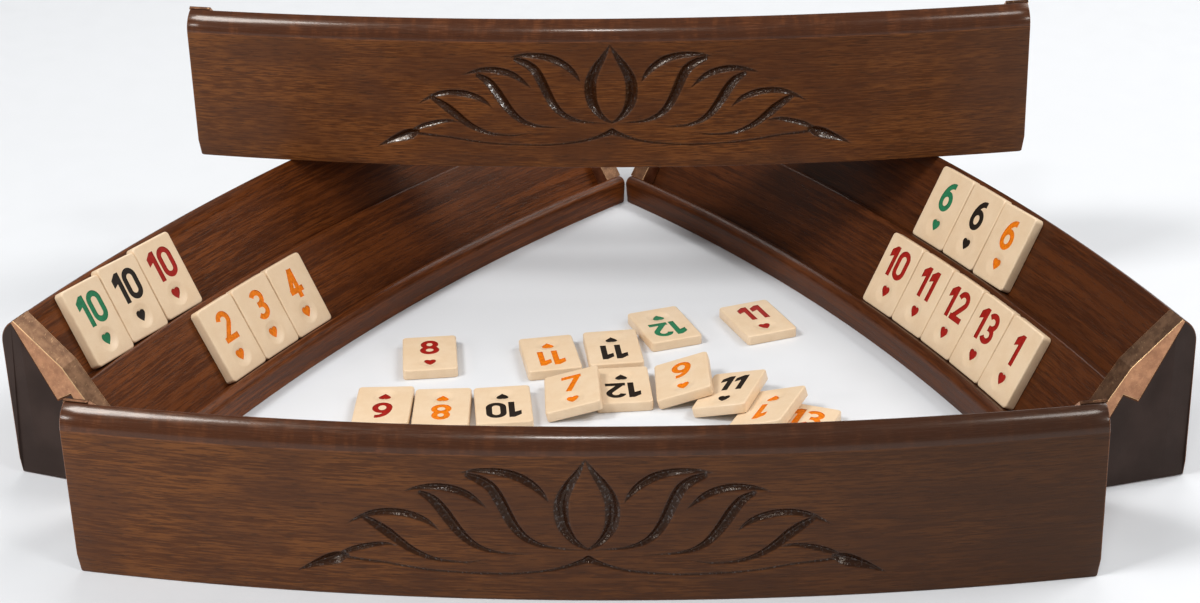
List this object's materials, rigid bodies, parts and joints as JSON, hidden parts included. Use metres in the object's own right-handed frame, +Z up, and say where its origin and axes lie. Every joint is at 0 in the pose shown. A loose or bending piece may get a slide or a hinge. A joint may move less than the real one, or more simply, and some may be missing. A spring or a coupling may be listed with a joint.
{
  "type": "rummy rack and tile set",
  "caption": "Curved two-step wooden tile racks with carved backs and brass end stops, standing in a triangle with one across the top, and numbered ivory tiles.",
  "frame": {"origin": "middle of the footprint of all the racks, at table height", "axes": "+Z up; the front rack's carved back faces -Y; +X to that reader's right"},
  "size_m": [0.522, 0.4732, 0.1548],
  "materials": {
    "wood": "dark reddish brown varnish, satin to gloss",
    "brass": "worn polished cast brass",
    "tile": "ivory, semi-gloss, with coloured numbers"
  },
  "bodies": {
    "front_rack": {"front_back_board": "wood", "front_upper_step": "wood", "front_lower_step": "wood", "front_end_stop_left": "brass", "front_end_stop_right": "brass"},
    "left_rack": {"left_back_board": "wood", "left_upper_step": "wood", "left_lower_step": "wood", "left_end_stop_left": "brass", "left_end_stop_right": "brass"},
    "right_rack": {"right_back_board": "wood", "right_upper_step": "wood", "right_lower_step": "wood", "right_end_stop_left": "brass", "right_end_stop_right": "brass"},
    "top_rack": {"top_back_board": "wood", "top_upper_step": "wood", "top_lower_step": "wood", "top_end_stop_left": "brass", "top_end_stop_right": "brass"},
    "tile_right_upper_green_6": {"tile_right_upper_green_6": "tile"},
    "tile_right_upper_black_6": {"tile_right_upper_black_6": "tile"},
    "tile_right_upper_orange_6": {"tile_right_upper_orange_6": "tile"},
    "tile_right_lower_red_10": {"tile_right_lower_red_10": "tile"},
    "tile_right_lower_red_11": {"tile_right_lower_red_11": "tile"},
    "tile_right_lower_red_12": {"tile_right_lower_red_12": "tile"},
    "tile_right_lower_red_13": {"tile_right_lower_red_13": "tile"},
    "tile_right_lower_red_1": {"tile_right_lower_red_1": "tile"},
    "tile_left_upper_green_10": {"tile_left_upper_green_10": "tile"},
    "tile_left_upper_black_10": {"tile_left_upper_black_10": "tile"},
    "tile_left_upper_red_10": {"tile_left_upper_red_10": "tile"},
    "tile_left_lower_orange_2": {"tile_left_lower_orange_2": "tile"},
    "tile_left_lower_orange_3": {"tile_left_lower_orange_3": "tile"},
    "tile_left_lower_orange_4": {"tile_left_lower_orange_4": "tile"},
    "tile_table_red_8": {"tile_table_red_8": "tile"},
    "tile_table_red_6": {"tile_table_red_6": "tile"},
    "tile_table_orange_8": {"tile_table_orange_8": "tile"},
    "tile_table_black_10": {"tile_table_black_10": "tile"},
    "tile_table_orange_11": {"tile_table_orange_11": "tile"},
    "tile_table_black_11_far": {"tile_table_black_11_far": "tile"},
    "tile_table_black_12": {"tile_table_black_12": "tile"},
    "tile_table_green_12": {"tile_table_green_12": "tile"},
    "tile_table_red_11": {"tile_table_red_11": "tile"},
    "tile_table_orange_13": {"tile_table_orange_13": "tile"},
    "tile_table_orange_1": {"tile_table_orange_1": "tile"},
    "tile_table_black_11_near": {"tile_table_black_11_near": "tile"},
    "tile_table_orange_9": {"tile_table_orange_9": "tile"},
    "tile_table_orange_7": {"tile_table_orange_7": "tile"}
  },
  "joints": [
    {"name": "left_rack_away", "type": "slide", "parent": "front_rack", "child": "left_rack", "axis": [-1, 0, 0], "range_m": [0, 0.12]},
    {"name": "right_rack_away", "type": "slide", "parent": "front_rack", "child": "right_rack", "axis": [1, 0, 0], "range_m": [0, 0.12]},
    {"name": "top_rack_lift", "type": "slide", "parent": "front_rack", "child": "top_rack", "axis": [0, 0, 1], "range_m": [0, 0.12]},
    {"name": "right_upper_green_6_along", "type": "hinge", "parent": "right_rack", "child": "tile_right_upper_green_6", "pos_m": [-0.75777, -0.47405, 0], "axis": [0, 0, 1], "range_deg": [-5.8, 0.4]},
    {"name": "right_upper_black_6_along", "type": "hinge", "parent": "right_rack", "child": "tile_right_upper_black_6", "pos_m": [-0.75777, -0.47405, 0], "axis": [0, 0, 1], "range_deg": [-5.8, 0.4]},
    {"name": "right_upper_orange_6_along", "type": "hinge", "parent": "right_rack", "child": "tile_right_upper_orange_6", "pos_m": [-0.75777, -0.47405, 0], "axis": [0, 0, 1], "range_deg": [-5.8, 0.4]},
    {"name": "right_lower_red_10_along", "type": "hinge", "parent": "right_rack", "child": "tile_right_lower_red_10", "pos_m": [-0.75777, -0.47405, 0], "axis": [0, 0, 1], "range_deg": [-2.75, 11.1]},
    {"name": "right_lower_red_11_along", "type": "hinge", "parent": "right_rack", "child": "tile_right_lower_red_11", "pos_m": [-0.75777, -0.47405, 0], "axis": [0, 0, 1], "range_deg": [-2.75, 11.1]},
    {"name": "right_lower_red_12_along", "type": "hinge", "parent": "right_rack", "child": "tile_right_lower_red_12", "pos_m": [-0.75777, -0.47405, 0], "axis": [0, 0, 1], "range_deg": [-2.75, 11.1]},
    {"name": "right_lower_red_13_along", "type": "hinge", "parent": "right_rack", "child": "tile_right_lower_red_13", "pos_m": [-0.75777, -0.47405, 0], "axis": [0, 0, 1], "range_deg": [-2.75, 11.1]},
    {"name": "right_lower_red_1_along", "type": "hinge", "parent": "right_rack", "child": "tile_right_lower_red_1", "pos_m": [-0.75777, -0.47405, 0], "axis": [0, 0, 1], "range_deg": [-2.75, 11.1]},
    {"name": "left_upper_green_10_along", "type": "hinge", "parent": "left_rack", "child": "tile_left_upper_green_10", "pos_m": [0.75777, -0.47405, 0], "axis": [0, 0, 1], "range_deg": [-5, 0.92]},
    {"name": "left_upper_black_10_along", "type": "hinge", "parent": "left_rack", "child": "tile_left_upper_black_10", "pos_m": [0.75777, -0.47405, 0], "axis": [0, 0, 1], "range_deg": [-5, 0.92]},
    {"name": "left_upper_red_10_along", "type": "hinge", "parent": "left_rack", "child": "tile_left_upper_red_10", "pos_m": [0.75777, -0.47405, 0], "axis": [0, 0, 1], "range_deg": [-5, 0.92]},
    {"name": "left_lower_orange_2_along", "type": "hinge", "parent": "left_rack", "child": "tile_left_lower_orange_2", "pos_m": [0.75777, -0.47405, 0], "axis": [0, 0, 1], "range_deg": [-12.5, 4.35]},
    {"name": "left_lower_orange_3_along", "type": "hinge", "parent": "left_rack", "child": "tile_left_lower_orange_3", "pos_m": [0.75777, -0.47405, 0], "axis": [0, 0, 1], "range_deg": [-12.5, 4.35]},
    {"name": "left_lower_orange_4_along", "type": "hinge", "parent": "left_rack", "child": "tile_left_lower_orange_4", "pos_m": [0.75777, -0.47405, 0], "axis": [0, 0, 1], "range_deg": [-12.5, 4.35]},
    {"name": "red_8_lift", "type": "slide", "parent": "front_rack", "child": "tile_table_red_8", "axis": [0, 0, 1], "range_m": [0, 0.06]},
    {"name": "red_6_lift", "type": "slide", "parent": "front_rack", "child": "tile_table_red_6", "axis": [0, 0, 1], "range_m": [0, 0.06]},
    {"name": "orange_8_lift", "type": "slide", "parent": "front_rack", "child": "tile_table_orange_8", "axis": [0, 0, 1], "range_m": [0, 0.06]},
    {"name": "black_10_lift", "type": "slide", "parent": "front_rack", "child": "tile_table_black_10", "axis": [0, 0, 1], "range_m": [0, 0.06]},
    {"name": "orange_11_lift", "type": "slide", "parent": "front_rack", "child": "tile_table_orange_11", "axis": [0, 0, 1], "range_m": [0, 0.06]},
    {"name": "black_11_far_lift", "type": "slide", "parent": "front_rack", "child": "tile_table_black_11_far", "axis": [0, 0, 1], "range_m": [0, 0.06]},
    {"name": "black_12_lift", "type": "slide", "parent": "front_rack", "child": "tile_table_black_12", "axis": [0, 0, 1], "range_m": [0, 0.06]},
    {"name": "green_12_lift", "type": "slide", "parent": "front_rack", "child": "tile_table_green_12", "axis": [0, 0, 1], "range_m": [0, 0.06]},
    {"name": "red_11_lift", "type": "slide", "parent": "front_rack", "child": "tile_table_red_11", "axis": [0, 0, 1], "range_m": [0, 0.06]},
    {"name": "orange_13_lift", "type": "slide", "parent": "front_rack", "child": "tile_table_orange_13", "axis": [0, 0, 1], "range_m": [0, 0.06]},
    {"name": "orange_1_lift", "type": "slide", "parent": "tile_table_orange_13", "child": "tile_table_orange_1", "axis": [0, 0, 1], "range_m": [0, 0.06]},
    {"name": "black_11_near_lift", "type": "slide", "parent": "tile_table_orange_1", "child": "tile_table_black_11_near", "axis": [0, 0, 1], "range_m": [0, 0.06]},
    {"name": "orange_9_lift", "type": "slide", "parent": "tile_table_black_11_near", "child": "tile_table_orange_9", "axis": [0, 0, 1], "range_m": [0, 0.06]},
    {"name": "orange_7_lift", "type": "slide", "parent": "tile_table_black_12", "child": "tile_table_orange_7", "axis": [0, 0, 1], "range_m": [0, 0.06]}
  ],
  "couplings": [
    {"joint": "right_upper_black_6_along", "follows": "right_upper_green_6_along", "ratio": 1},
    {"joint": "right_upper_orange_6_along", "follows": "right_upper_green_6_along", "ratio": 1},
    {"joint": "right_lower_red_11_along", "follows": "right_lower_red_10_along", "ratio": 1},
    {"joint": "right_lower_red_12_along", "follows": "right_lower_red_10_along", "ratio": 1},
    {"joint": "right_lower_red_13_along", "follows": "right_lower_red_10_along", "ratio": 1},
    {"joint": "right_lower_red_1_along", "follows": "right_lower_red_10_along", "ratio": 1},
    {"joint": "left_upper_black_10_along", "follows": "left_upper_green_10_along", "ratio": 1},
    {"joint": "left_upper_red_10_along", "follows": "left_upper_green_10_along", "ratio": 1},
    {"joint": "left_lower_orange_3_along", "follows": "left_lower_orange_2_along", "ratio": 1},
    {"joint": "left_lower_orange_4_along", "follows": "left_lower_orange_2_along", "ratio": 1}
  ]
}
